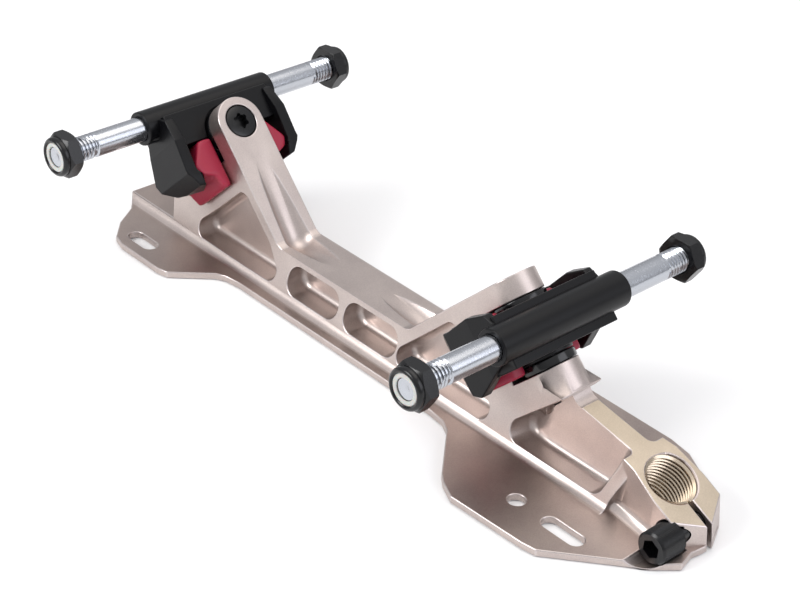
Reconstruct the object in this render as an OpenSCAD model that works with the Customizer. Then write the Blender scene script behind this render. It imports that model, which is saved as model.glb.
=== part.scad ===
// Roller skate plate: a one-piece machined chassis that carries two
// steering trucks on pins inclined at 45 degrees. Origin on the sole face,
// midway between the axles. +X is the toe, +Z points away from the boot.

/* [Plate] */
// Distance between the two axles
wheelbase = 158; // [154:1:164]
// Height of the axles over the sole face
axle_h = 42.6; // [41.6:0.2:44]
// Thickness of the mounting flange
flange_t = 2.3; // [1.8:0.1:3]
// Height of the deck between the trucks
deck_h = 16; // [15:0.5:17]
// Width of the deck, arms and truck webs
web_w = 16.6; // [15.6:0.2:17]
// Width of the spine where its side fillets start
foot_w = 22.9; // [22:0.1:24]
// Radius of the fillet between spine and flange
fillet_r = 3.75; // [3:0.25:4.5]
// Half width of the flange between the trucks
waist_half = 17.1; // [16:0.1:19]
// Half width of the flange on the inner side of the forefoot
inner_half = 29; // [28:0.5:29.5]
// Thickness of the web left between opposite side pockets
core_t = 7; // [5:0.5:9]
// Height of the lower edge of the side pockets
pocket_z = 4.6; // [4:0.1:6]
// Corner radius of the side pockets
pocket_r = 3.5; // [2.5:0.25:4]
// Width of the rim between the truck pockets and the slot or arm
rim_w = 3.6; // [3:0.1:5]
// Length of one deck pocket
deck_pocket_l = 23.5; // [20:0.5:25]
// Distance between the two deck pockets
deck_pocket_pitch = 26.5; // [26:0.5:28]

/* [Tail and nose] */
// Distance from the rear axle to the tail end
tail_l = 23.5; // [21:0.5:27]
// Height of the tail rail
rail_h = 5; // [4:0.5:6]
// Distance from the front axle to the nose front
nose_l = 62; // [60:0.5:65]
// Height of the nose deck behind the stop facet
nose_h = 18; // [17:0.5:19]
// Slope of the nose deck
nose_slope = 9.8; // [8:0.2:12]
// Half width of the nose core where it leaves the front boss
nose_half_rear = 4.6; // [4:0.2:6]
// Half width of the nose at the toe stop
nose_half = 10.4; // [10:0.1:11.5]

/* [Toe stop clamp] */
// Diameter of the toe stop thread
stop_d = 15.875; // [14:0.125:16]
// Distance of the toe stop mouth from the front axle
stop_off = 47.4; // [46:0.2:49]
// Lean of the toe stop towards the toe
stop_lean = 25.7; // [22:0.1:28]
// Width of the chamfer at the mouth of the toe stop thread
stop_chamfer = 0.5; // [0.3:0.1:0.8]
// Width of the clamp slit
slit_w = 2; // [1.4:0.2:2.4]
// Diameter of the pinch screw
pinch_d = 6; // [5:0.5:6.5]
// Diameter of the pinch screw head
pinch_head_d = 9.8; // [9.4:0.2:10.4]
// Height of the pinch screw head
pinch_head_h = 7.4; // [6:0.2:8]
// Distance of the pinch screw from the nose front
pinch_off = 5; // [4.5:0.1:5.2]
// Height of the pinch screw over the sole
pinch_z = 5.5; // [5.5:0.1:6]

/* [Mounting holes] */
// Sideways distance of the rear slots from the middle
rear_slot_y = 25.7; // [24:0.1:27]
// Distance of the rear slots from the rear axle, towards the middle
rear_slot_off = 1.5; // [-1:0.5:5]
// Length of the rear slots
rear_slot_l = 12.5; // [9:0.5:14]
// Sideways distance of the outer front holes from the middle
front_outer_y = 27.8; // [26:0.1:29]
// Sideways distance of the inner front holes from the middle
front_inner_y = 19.8; // [19.6:0.1:20.4]
// Distance of the round front holes from the front axle
front_hole_off = 17; // [14:0.5:19]
// Distance of the front slots from the front axle
front_slot_off = 34.5; // [33:0.5:36]
// Length of the front slots
front_slot_l = 14.4; // [10:0.2:15]
// Width of the slots and diameter of the round holes
hole_d = 5.3; // [4.5:0.1:6]

/* [Truck supports] */
// Inclination of the pivot pins from the sole
pivot_tilt = 45; // [43:0.5:47]
// Distance of the pivot pin below the axle
pivot_drop = 11.15; // [10.5:0.05:12]
// Distance of the arm's inner face from the axle, along the pin
arm_in = 9.5; // [9:0.1:10.5]
// Thickness of the arm
arm_t = 6.6; // [6:0.1:7.5]
// Distance of the boss face from the axle, along the pin
boss_in = 12; // [11.5:0.1:13]
// Length of the boss along the pin
boss_l = 12; // [10:0.5:13]
// Distance of the slot floor below the pin
slot_drop = 9.1; // [8.9:0.1:10]
// Radius of the fillet at the foot of the arm
arm_fillet_r = 6; // [4:0.5:8]
// Radius of the ball-milled flute down the arm
flute_r = 5.5; // [4.5:0.1:6]
// Depth of the flute at the foot of the arm
flute_depth = 3; // [2:0.25:3.5]

/* [Pivot] */
// Diameter of the pivot bolt
bolt_d = 8; // [7:0.5:8.5]
// Diameter of the pivot bolt head
bolt_head_d = 11; // [10:0.25:12]
// Height of the pivot bolt head
bolt_head_h = 3.4; // [3:0.1:4]
// Wall of the pivot sleeve
sleeve_wall = 1.4; // [1:0.1:1.6]
// Radius of the washers and of the hanger hub
hub_r = 8.3; // [8:0.1:8.4]
// Thickness of the pivot washers
washer_t = 2.7; // [2:0.1:2.9]
// Running clearance of the pivot, on the radius
run_gap = 0.05; // [0.02:0.01:0.1]
// Gap between parts that move past each other
side_gap = 0.3; // [0.2:0.05:0.4]

/* [Hanger] */
// Radius of the axle tube
tube_r = 5.55; // [5.3:0.05:6]
// Length of the axle tube
tube_l = 51.4; // [50:0.2:54]
// Half width across the wings
wing_half = 22.3; // [21.5:0.1:23]
// Thickness of the wing walls
wing_t = 3.6; // [3:0.1:4]
// Distance of the wing tips below the axle
wing_drop = 25.6; // [24.5:0.1:26]

/* [Axle and nuts] */
// Diameter of the axles
axle_d = 8; // [7:0.5:8]
// Length of the axles
axle_l = 115.4; // [113:0.2:116]
// Distance from a nut's inner face to the end of the axle
nut_seat = 5.6; // [5:0.1:6.4]
// Width across the flats of the locknuts
nut_af = 13; // [12.5:0.5:13.5]
// Height of the hexagon of the locknuts
nut_hex_h = 4.4; // [4:0.1:5]
// Height of the collar of the locknuts
nut_collar_h = 2.1; // [1.8:0.1:2.4]
// Outer diameter of the nylon rings
nylon_d = 9.4; // [9:0.1:10]

/* [Cushions] */
// Width of a cushion at its widest
cushion_w = 9.8; // [9:0.1:10.2]
// Length of a cushion along the pin
cushion_l = 19.6; // [18:0.1:19.8]

/* [Hidden] */
$fn = 64;
// Left is +Y and right is -Y.
LEFT = 1;
RIGHT = -1;
REAR = -1;
FRONT = 1;
arm_out = arm_in + arm_t;
// Places along the plate, worked out from the two axles.
axle_x = wheelbase / 2;
tail_x = axle_x + tail_l;
nose_x = axle_x + nose_l;
stop_x = axle_x + stop_off;
pinch_x = nose_x - pinch_off;
rear_slot_x = axle_x - rear_slot_off;
front_hole_x = axle_x + front_hole_off;
front_slot_x = axle_x + front_slot_off;
nut_span = axle_l - 2 * nut_seat;
web_half = web_w / 2;
foot_half = foot_w / 2;
far = 200;
// The pinch screw's head seats on a face this far from the middle plane,
// and its tip ends this far past it, inside the other lug.
pinch_seat = 7.2;
pinch_reach = 3.6;
// The head stands off its seat by this much.
pinch_slack = 3.5;
// Radial play of the head in its pocket.
pinch_head_gap = 0.25;
// Middle of the pair of deck pockets, off the middle of the plate.
deck_pocket_x = 2.4;
// Place and radius of the scallop where the front boss meets the nose deck.
scallop_x = axle_x + 12;
scallop_r = 4.2;
// The nose widens from one of these places to the other.
wedge_from = axle_x + 13;
wedge_to = axle_x + 50;
wedge_angle = atan((nose_half - nose_half_rear) / (wedge_to - wedge_from));
// The nose core is rooted in the spine from here.
core_from = axle_x - 9;
// Length of the fillets along the nose.
nose_fillet_l = 16;
// Where the nose's side walls meet its front faces, and the rake of these.
nose_corner_x = nose_x - 5;
nose_rake = 8;
hub_back = -boss_in + washer_t + side_gap;
hub_front = arm_in - washer_t - side_gap;
cup_gap = 0.15;
// Where the spine's leaning side wall would meet the top of the flange.
wall_foot = [
    web_half + (foot_half - web_half) * (deck_h - flange_t) / (deck_h - flange_t - fillet_r * 0.73),
    flange_t
];
// How far a fillet's arc runs past the faces that it joins.
overrun = 0.02;
// The facet that carries the toe stop starts here, and has this height at
// the thread's axis.
facet_x = stop_x - 6.4;
stop_z = nose_h - (stop_x - facet_x) * tan(stop_lean);
// The raised frame of the nose runs from inside the front boss to its front
// edge, which leans towards the toe and leaves a rim in front of the pocket.
frame_from = axle_x + 5;
frame_to = axle_x + 36;
frame_lean = 18;
nose_pocket_from = axle_x - 7.3;
nose_pocket_r = 3.9;
nose_rim = 4.5;
// Room over the nose deck that is left to the cuts that finish it.
milling_room = 12;
// The truck supports are rooted this high over the sole.
root_z = 2;
// The deck reaches this far back, under the rear arm.
deck_from = 34 - axle_x;
// Corner radius of the deck pockets, and their distance from the deck.
deck_pocket_r = 4.4;
deck_pocket_rim = 1.7;

// A point given along the pivot pin (w) and up the truck (u), in side view
// of the rear truck. The front truck is its mirror image.
function side_pt(w, u) = [
    -wheelbase / 2 + w * cos(pivot_tilt) - u * sin(pivot_tilt),
    axle_h + w * sin(pivot_tilt) + u * cos(pivot_tilt)
];

// The same the other way: a side view point in the rear truck's own axes.
function truck_pt(x, z) = [
    (x + wheelbase / 2) * cos(pivot_tilt) + (z - axle_h) * sin(pivot_tilt),
    (z - axle_h) * cos(pivot_tilt) - (x + wheelbase / 2) * sin(pivot_tilt)
];

function unit(v) = v / norm(v);

// Where the line at p along d meets the line at q along e.
function meet(p, d, q, e) =
    p + d * ((q[0] - p[0]) * e[1] - (q[1] - p[1]) * e[0]) / (d[0] * e[1] - d[1] * e[0]);

// Puts a child drawn round the rear axle, X along the pivot pin, on a truck.
module on_truck(end) {
    mirror([end == FRONT ? 1 : 0, 0, 0])
        translate([-wheelbase / 2, 0, axle_h])
            rotate([0, -pivot_tilt, 0])
                children();
}

// Stands a side view outline up and gives it a width across the plate.
module across(width) {
    rotate([90, 0, 0])
        linear_extrude(width, center = true)
            children();
}

// A cylinder along X from a to b.
module along_x(a, b, r) {
    translate([a, 0, 0])
        rotate([0, 90, 0])
            cylinder(h = b - a, r = r);
}

// A round bar from p to q.
module rod(p, q, r) {
    d = q - p;
    translate(p)
        rotate([0, acos(d[2] / norm(d)), atan2(d[1], d[0])])
            cylinder(h = norm(d), r = r);
}

// A convex outline with rounded corners. The points are the sharp corners,
// in anticlockwise order.
module rounded(pts, r) {
    n = len(pts);
    dirs = [for (i = [0:n - 1]) unit(pts[(i + 1) % n] - pts[i])];
    outs = [for (d = dirs) [d[1], -d[0]]];
    centres = [
        for (i = [0:n - 1])
            meet(
                pts[i] - outs[i] * r, dirs[i],
                pts[i] - outs[(i + n - 1) % n] * r, dirs[(i + n - 1) % n]
            )
    ];
    polygon([
        for (i = [0:n - 1]) each [
            centres[i] + outs[(i + n - 1) % n] * r,
            centres[i] + outs[i] * r
        ]
    ]);
    for (c = centres)
        translate(c)
            circle(r);
}

// The rounded filling of an inside corner at p between directions a and b.
module corner_fillet(p, a, b, r) {
    half_angle = acos(a * b) / 2;
    reach = r / tan(half_angle);
    middle = p + unit(a + b) * r / sin(half_angle);
    on_a = p + a * reach;
    on_b = p + b * reach;
    difference() {
        polygon([
            p - unit(a + b), on_a - (middle - on_a) * 0.1, middle, on_b - (middle - on_b) * 0.1
        ]);
        translate(middle)
            circle(r + overrun);
    }
}

// Cross-section of the spine, extruded along the plate.
module spine_section() {
    up = unit([web_half - wall_foot[0], deck_h - flange_t]);
    sole = wall_foot - up * flange_t / up[1];
    polygon([
        [-sole[0], 0], [sole[0], 0], [web_half, deck_h], [web_half, far],
        [-web_half, far], [-web_half, deck_h]
    ]);
    for (s = [0, 1])
        mirror([s, 0])
            corner_fillet(wall_foot, [1, 0], up, fillet_r);
}

// Side view of one truck support, along the pin and up the truck: boss,
// slot and arm, with their root in the deck.
module support_side() {
    floor_u = -pivot_drop - slot_drop;
    end_w = -boss_in - boss_l;
    foot = [arm_out, (deck_h - axle_h - arm_out * sin(pivot_tilt)) / cos(pivot_tilt)];
    root = [arm_out, (root_z - axle_h - arm_out * sin(pivot_tilt)) / cos(pivot_tilt)];
    polygon([
        truck_pt(-wheelbase / 2, root_z), root, [arm_out, -pivot_drop], [arm_in, -pivot_drop],
        [arm_in, floor_u], [-boss_in, floor_u], [-boss_in, -pivot_drop],
        [end_w, -pivot_drop], [end_w, -pivot_drop - web_half]
    ]);
    corner_fillet(foot, [cos(pivot_tilt), -sin(pivot_tilt)], [0, 1], arm_fillet_r);
}

// Side view of tail rail, deck and raised nose frame.
module spine_side() {
    polygon([[-tail_x, 0], [0, 0], [0, rail_h], [-tail_x, rail_h]]);
    polygon([
        [deck_from, 0], [frame_to, 0], [frame_to, rail_h], [frame_at(milled_from), milled_from],
        [frame_from, milled_from], [frame_from, deck_h], [deck_from, deck_h]
    ]);
}

function nose_top(x) = nose_h + (facet_x - x) * tan(nose_slope);

// The front edge of the nose frame at a height.
function frame_at(z) = frame_to + (z - rail_h) * tan(frame_lean);

milled_from = nose_top(frame_from) + 1;

// Side view of the nose before its deck and facet are milled.
module nose_side() {
    polygon([
        [core_from, 0], [nose_x + 3, 0], [nose_x + 3, nose_h], [frame_from, milled_from],
        [frame_from, deck_h - 2], [core_from, deck_h - 2]
    ]);
}

function nose_half_at(x) =
    nose_half_rear + (x - wedge_from) * (nose_half - nose_half_rear) / (wedge_to - wedge_from);

module nose_plan() {
    polygon([
        [core_from, -nose_half_at(core_from)], [wedge_to, -nose_half], [nose_x + 3, -nose_half],
        [nose_x + 3, nose_half], [wedge_to, nose_half], [core_from, nose_half_at(core_from)]
    ]);
}

// The two faces that cut the corners off the nose, raked back a little.
module nose_front_cut() {
    run = [nose_x - nose_corner_x, slit_w / 2 - nose_half];
    facet_mid = [nose_corner_x + run[0] / 2, nose_half + run[1] / 2];
    for (s = [0, 1])
        mirror([0, s, 0])
            translate([
                facet_mid[0], facet_mid[1],
                nose_h - (facet_mid[0] - facet_x) * tan(stop_lean)
            ])
                rotate([0, 0, atan(-run[0] / run[1])])
                    rotate([0, -nose_rake, 0])
                        translate([0, -far / 2, -far / 2])
                            cube([far, far, far]);
}

// Fillets between the nose's side walls and the flange.
module nose_fillets() {
    for (s = [0, 1])
        mirror([0, s, 0])
            translate([wedge_to, nose_half, 0])
                rotate([0, 0, wedge_angle])
                    translate([-nose_fillet_l, 0, 0])
                        fillet_bar(nose_fillet_l + 2.5);
}

// A fillet on the flange along X, against a wall on the X axis.
module fillet_bar(length) {
    rotate([90, 0, 90])
        linear_extrude(length)
            corner_fillet([0, flange_t], [1, 0], [0, 1], fillet_r);
}

// The flange outline in four parts, each measured from its own axle: the
// outer side of the foot, which is the wide one, then the inner side.
outer_rear = [
    [-tail_l, -11.5], [-18.1, -16], [-12.6, -24.6], [-6, -31], [-1, -32.5], [18, -32.5],
    [22, -31.5], [31.9, -19.7], [35, -18], [41, -waist_half]
];
outer_front = [
    [-29, -waist_half], [-22.7, -17.9], [-18.7, -20.1], [-4.5, -35.9], [-1.6, -38.2], [4.6, -41.2],
    [30.7, -40.2], [35.5, -39.4], [52.7, -24.5], [58.9, -19.4], [64.2, -12.7],
    [62.6, -7], [63.2, -2.8], [63.2, 0]
];
inner_front = [
    [63.2, 1.2], [60, 7.5], [56, 12.6], [49, 19], [33, 27.6], [25, inner_half], [-7, inner_half],
    [-11, 28], [-18.7, 20.1], [-22.7, 17.9], [-29, waist_half]
];
inner_rear = [
    [41, waist_half], [35, 17.6], [29.5, 19.2], [17, 32], [-1, 32.5], [-6, 31], [-12.6, 24.6],
    [-18.1, 16], [-tail_l, 11.5]
];

function moved(pts, x) = [for (p = pts) [p[0] + x, p[1]]];

// A slot of the given length along X.
module slot_2d(length) {
    for (s = [-1, 1])
        translate([s * (length - hole_d) / 2, 0])
            circle(d = hole_d);
    square([length - hole_d, hole_d], center = true);
}

module flange_outline() {
    polygon(concat(
        moved(outer_rear, -axle_x), moved(outer_front, axle_x),
        moved(inner_front, axle_x), moved(inner_rear, -axle_x)
    ));
}

module flange() {
    linear_extrude(flange_t)
        difference() {
            flange_outline();
            for (s = [-1, 1])
                translate([-rear_slot_x, s * rear_slot_y])
                    slot_2d(rear_slot_l);
            for (y = [-front_outer_y, front_inner_y]) {
                translate([front_hole_x, y])
                    circle(d = hole_d);
                translate([front_slot_x, y])
                    slot_2d(front_slot_l);
            }
        }
}

// Side view of the pocket under a truck: a triangle between slot, arm and
// flange. The corners follow the slot floor and the arm's outer face.
module truck_pocket_side() {
    along = [cos(pivot_tilt), sin(pivot_tilt)];
    down = [sin(pivot_tilt), -cos(pivot_tilt)];
    top = side_pt(arm_out - rim_w, -pivot_drop - slot_drop - 3.2 * rim_w);
    low_left = meet(top, along, [0, pocket_z], [1, 0]);
    low_right = meet(top, down, [0, pocket_z], [1, 0]);
    rounded([low_left, low_right, top], pocket_r);
}

module deck_pocket_side() {
    half = deck_pocket_l / 2;
    top = deck_h - deck_pocket_rim;
    rounded([[-half, pocket_z], [half, pocket_z], [half, top], [-half, top]], deck_pocket_r);
}

// Cuts a side view outline into both sides, down to the central web.
module side_pocket(web_t) {
    for (s = [-1, 1])
        translate([0, s * (web_t + far) / 2, 0])
            across(far)
                children();
}

module flute() {
    // The flute's centre line starts just over the arm, sinks towards the
    // foot and rises out of the deck again.
    start = side_pt(arm_out + flute_r + 0.2, -pivot_drop - 9);
    turn_w = arm_out + flute_r - flute_depth;
    turn = [
        side_pt(turn_w, 0)[0]
            + (side_pt(turn_w, 0)[1] - deck_h - flute_r + flute_depth) * tan(pivot_tilt),
        deck_h + flute_r - flute_depth
    ];
    finish = [-7, deck_h + flute_r + 0.3];
    p = [start[0], 0, start[1]];
    q = [turn[0], 0, turn[1]];
    e = [finish[0], 0, finish[1]];
    rod(p, q, flute_r);
    rod(q, e, flute_r);
    translate(q)
        sphere(flute_r + overrun);
}

module stop_bore() {
    translate([stop_x, 0, stop_z])
        rotate([0, stop_lean, 0]) {
            translate([0, 0, -40])
                cylinder(h = 60, d = stop_d);
            translate([0, 0, -stop_chamfer])
                rotate_extrude()
                    polygon([
                        [0, -stop_chamfer], [stop_d / 2 - stop_chamfer, -stop_chamfer],
                        [stop_d / 2 + 2 * stop_chamfer, 2 * stop_chamfer], [0, 2 * stop_chamfer]
                    ]);
        }
}

// Clearance hole, head pocket and blind thread hole of the pinch screw.
module pinch_bore() {
    translate([pinch_x, 0, pinch_z])
        rotate([90, 0, 0]) {
            cylinder(h = 60, d = pinch_d + 0.4);
            translate([0, 0, -pinch_reach - 0.2])
                cylinder(h = 10, d = pinch_d);
            translate([0, 0, pinch_seat])
                cylinder(h = 40, d = pinch_head_d + 2 * pinch_head_gap);
        }
}

// The nose deck is milled away beyond the front boss, with a round inner
// corner that leaves a half-moon scallop in the boss.
module nose_relief_side() {
    c = [scallop_x + scallop_r, nose_top(scallop_x + scallop_r) + scallop_r];
    translate(c)
        circle(scallop_r);
    polygon([
        [scallop_x, c[1]], c, [c[0], nose_top(c[0])], [facet_x, nose_h],
        [nose_x + 9, nose_h - (nose_x + 9 - facet_x) * tan(stop_lean)],
        [nose_x + 9, far], [scallop_x, far]
    ]);
}

module nose_pocket_side() {
    top = nose_h + milling_room;
    low = frame_to - nose_rim;
    rounded([
        [nose_pocket_from, pocket_z], [low, pocket_z],
        [low + (top - pocket_z) * tan(frame_lean), top],
        [nose_pocket_from + (top - pocket_z) / tan(pivot_tilt), top]
    ], nose_pocket_r);
}

// The pocket is cut a little past the nose core, which is added after it.
module nose_pocket() {
    for (s = [-1, 1])
        translate([wedge_from, s * (nose_half_rear - 0.3), 0])
            rotate([0, 0, s * wedge_angle])
                translate([-wedge_from, s * far / 2, 0])
                    across(far)
                        nose_pocket_side();
}

module truck_supports() {
    for (end = [REAR, FRONT])
        on_truck(end)
            rotate([90, 0, 0])
                linear_extrude(far, center = true)
                    support_side();
}

// The blank: flange, spine and the round tops of bosses and arms.
module chassis_blank() {
    flange();
    intersection() {
        union() {
            across(far)
                spine_side();
            truck_supports();
        }
        translate([-far, 0, 0])
            rotate([90, 0, 90])
                linear_extrude(2 * far)
                    spine_section();
        linear_extrude(far)
            flange_outline();
    }
    for (end = [REAR, FRONT])
        on_truck(end)
            translate([0, 0, -pivot_drop]) {
                along_x(arm_in, arm_out, web_half);
                along_x(-boss_in - boss_l, -boss_in, web_half);
            }
}

module nose_core() {
    difference() {
        union() {
            intersection() {
                across(far)
                    nose_side();
                linear_extrude(far)
                    nose_plan();
            }
            nose_fillets();
        }
        nose_front_cut();
    }
}

// Bores for the pivot bolts, with their head seats.
module pivot_bores() {
    for (end = [REAR, FRONT])
        on_truck(end)
            translate([0, 0, -pivot_drop]) {
                along_x(-boss_in - boss_l + 2, far, bolt_d / 2);
                along_x(arm_out - bolt_head_h, far, bolt_head_d / 2 + run_gap);
            }
}

module chassis() {
    color("#b8aba8")
        difference() {
            union() {
                difference() {
                    chassis_blank();
                    nose_pocket();
                }
                nose_core();
            }
            for (end = [0, 1])
                mirror([end, 0, 0]) {
                    side_pocket(core_t)
                        truck_pocket_side();
                    flute();
                }
            for (i = [-1, 1])
                translate([deck_pocket_x + i * deck_pocket_pitch / 2, 0, 0])
                    side_pocket(core_t)
                        deck_pocket_side();
            across(far)
                nose_relief_side();
            pivot_bores();
            stop_bore();
            translate([stop_x, -slit_w / 2, -1])
                cube([30, slit_w, 40]);
            pinch_bore();
        }
}

module toe_stop_pinch_screw() {
    color("#1c1c1e")
        translate([pinch_x, -pinch_seat - pinch_slack, pinch_z])
            rotate([90, 0, 0])
                difference() {
                    union() {
                        cylinder(h = pinch_head_h, d = pinch_head_d);
                        translate([0, 0, -pinch_seat - pinch_slack - pinch_reach])
                            cylinder(h = pinch_seat + pinch_slack + pinch_reach, d = pinch_d);
                    }
                    translate([0, 0, pinch_head_h / 2])
                        cylinder(h = pinch_head_h, d = 5 / cos(30), $fn = 6);
                }
}

// Outline of one cushion, seen along the pin: sideways, then up the truck.
// Its thick upper lobe fills the wing's cup and its foot lies on the web.
module cushion_outline(grow) {
    inner = web_half + side_gap - grow;
    outer = web_half + cushion_w + 0.5 + grow;
    rounded([
        [inner, -24.6 - grow], [13 + grow, -23.7 - grow], [17.2 + grow, -22 - grow],
        [outer, -19 - grow], [13.6 + grow, -11.4 + grow], [inner, -11.4 + grow]
    ], 0.8 + grow);
    rounded([
        [inner, -28.4 - grow], [11.2 + grow, -28.4 - grow],
        [12.7 + grow, -24.4 - grow], [12 + grow, -20], [inner, -20]
    ], 0.8 + grow);
}

// Stands an outline drawn sideways and up the truck along the pin, a to b.
module along_pin(a, b) {
    translate([a, 0, 0])
        rotate([90, 0, 90])
            linear_extrude(b - a)
                children();
}

// Outline of the hanger seen along the pin, one side.
module wing_outline() {
    rounded([
        [0, -12], [12.8, -26.2], [19.6, -25], [wing_half + 0.5, -20.4],
        [wing_half + 0.2, -9], [wing_half - 0.8, 0], [0, 0]
    ], 0.7);
}

// Side view of the wings, from the axle tube down to the tips.
module wing_side() {
    polygon([
        [-5.2, 0], [-5.4, -4], [-11.4, -17.4], [-9.8, -20.5], [-6, -24], [2, -wing_drop - 0.4],
        [8, -wing_drop - 0.4], [9.6, -22], [9.4, -19], [10.5, -9.3], [9, -2], [5.4, 0]
    ]);
}

module hanger_body() {
    rotate([90, 0, 0])
        cylinder(h = tube_l, r = tube_r, center = true);
    translate([0, 0, -pivot_drop])
        along_x(hub_back, hub_front, hub_r);
    // The block between tube and hub spans both wings.
    translate([-8.1, -wing_half + 1.5, -pivot_drop])
        cube([15.9, 2 * wing_half - 3, pivot_drop]);
    for (s = [0, 1])
        mirror([0, s, 0])
            intersection() {
                along_pin(-20, 20)
                    difference() {
                        wing_outline();
                        polygon([
                            [0, 1], [wing_half - wing_t, 1], [wing_half - wing_t, -14],
                            [wing_half - wing_t, -20], [17.4, -22], [13, -23.6], [12.4, -30], [0, -30]
                        ]);
                    }
                across(far)
                    wing_side();
            }
}

module hanger() {
    color("#2e2e33")
        difference() {
            hanger_body();
            rotate([90, 0, 0])
                cylinder(h = tube_l + 2, d = axle_d, center = true);
            translate([0, 0, -pivot_drop]) {
                along_x(-20, 20, bolt_d / 2 + run_gap + sleeve_wall);
                along_x(hub_front, 20, hub_r + side_gap);
                along_x(-20, hub_back, hub_r + side_gap);
            }
            for (s = [0, 1])
                mirror([0, s, 0])
                    along_pin(-cushion_l / 2 - 2, cushion_l / 2)
                        cushion_outline(cup_gap);
        }
}

module axle() {
    color("#c9ccd0")
        rotate([90, 0, 0])
            rotate_extrude()
                polygon([
                    [0, -axle_l / 2], [axle_d / 2 - 0.8, -axle_l / 2],
                    [axle_d / 2, -axle_l / 2 + 0.8], [axle_d / 2, axle_l / 2 - 0.8],
                    [axle_d / 2 - 0.8, axle_l / 2], [0, axle_l / 2]
                ]);
}

// A thin locknut on the end of the axle, its collar outwards.
module locknut(side) {
    color("#1d1d1f")
        mirror([0, side == LEFT ? 0 : 1, 0])
            translate([0, nut_span / 2, 0])
                rotate([-90, 0, 0])
                    difference() {
                        union() {
                            cylinder(h = nut_hex_h, d = nut_af / cos(30), $fn = 6);
                            translate([0, 0, nut_hex_h])
                                cylinder(h = nut_collar_h, d = nut_af - 0.4);
                        }
                        translate([0, 0, -1])
                            cylinder(h = 20, d = axle_d);
                        translate([0, 0, nut_hex_h])
                            cylinder(h = 20, d = nylon_d);
                    }
}

module nylon_ring(side) {
    color("#d5d5d0")
        mirror([0, side == LEFT ? 0 : 1, 0])
            translate([0, nut_span / 2 + nut_hex_h, 0])
                rotate([-90, 0, 0])
                    difference() {
                        cylinder(h = nut_collar_h - 0.5, d = nylon_d);
                        translate([0, 0, -1])
                            cylinder(h = 20, d = axle_d);
                    }
}

// The pivot bolt lies flush in the arm and is screwed into the boss.
module pivot_bolt() {
    color("#141416")
        translate([0, 0, -pivot_drop])
            difference() {
                union() {
                    along_x(-boss_in - boss_l + 3, arm_out - 1, bolt_d / 2);
                    along_x(arm_out - bolt_head_h, arm_out, bolt_head_d / 2);
                }
                translate([arm_out - 2.4, 0, 0])
                    rotate([0, 90, 0])
                        cylinder(h = 3, d = 5 / cos(30), $fn = 6);
            }
}

module pivot_sleeve() {
    color("#b08d57")
        translate([0, 0, -pivot_drop])
            difference() {
                along_x(hub_back, hub_front, bolt_d / 2 + run_gap + sleeve_wall);
                along_x(-20, 20, bolt_d / 2 + run_gap);
            }
}

module pivot_washer(a) {
    color("#0c0c0e")
        translate([a, 0, -pivot_drop])
            difference() {
                along_x(0, washer_t, hub_r);
                along_x(-1, washer_t + 1, bolt_d / 2 + run_gap);
            }
}

module cushion(side) {
    color("#b02c4e")
        mirror([0, side == LEFT ? 0 : 1, 0])
            along_pin(-cushion_l / 2 - 1, cushion_l / 2 - 1)
                cushion_outline(0);
}

chassis();
toe_stop_pinch_screw();
on_truck(REAR) hanger();  // rear_hanger
on_truck(REAR) axle();  // rear_axle
on_truck(REAR) locknut(LEFT);  // rear_left_nut
on_truck(REAR) locknut(RIGHT);  // rear_right_nut
on_truck(REAR) nylon_ring(LEFT);  // rear_left_nylon_ring
on_truck(REAR) nylon_ring(RIGHT);  // rear_right_nylon_ring
on_truck(REAR) pivot_bolt();  // rear_pivot_bolt
on_truck(REAR) pivot_sleeve();  // rear_pivot_sleeve
on_truck(REAR) pivot_washer(hub_front + side_gap / 2);  // rear_upper_washer
on_truck(REAR) pivot_washer(hub_back - side_gap / 2 - washer_t);  // rear_lower_washer
on_truck(REAR) cushion(LEFT);  // rear_left_cushion
on_truck(REAR) cushion(RIGHT);  // rear_right_cushion
on_truck(FRONT) hanger();  // front_hanger
on_truck(FRONT) axle();  // front_axle
on_truck(FRONT) locknut(LEFT);  // front_left_nut
on_truck(FRONT) locknut(RIGHT);  // front_right_nut
on_truck(FRONT) nylon_ring(LEFT);  // front_left_nylon_ring
on_truck(FRONT) nylon_ring(RIGHT);  // front_right_nylon_ring
on_truck(FRONT) pivot_bolt();  // front_pivot_bolt
on_truck(FRONT) pivot_sleeve();  // front_pivot_sleeve
on_truck(FRONT) pivot_washer(hub_front + side_gap / 2);  // front_upper_washer
on_truck(FRONT) pivot_washer(hub_back - side_gap / 2 - washer_t);  // front_lower_washer
on_truck(FRONT) cushion(LEFT);  // front_left_cushion
on_truck(FRONT) cushion(RIGHT);  // front_right_cushion
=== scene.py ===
# %% [markdown]
# # A roller skate plate
# The plate is photographed upside down: its flat sole lies on the table and
# the two steering trucks point up. The CAD model fixes every size. This
# notebook dresses it: softened edges, threads, knurls and real finishes.
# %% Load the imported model
import math
import bpy
import bmesh
from mathutils import Matrix, Vector


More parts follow.
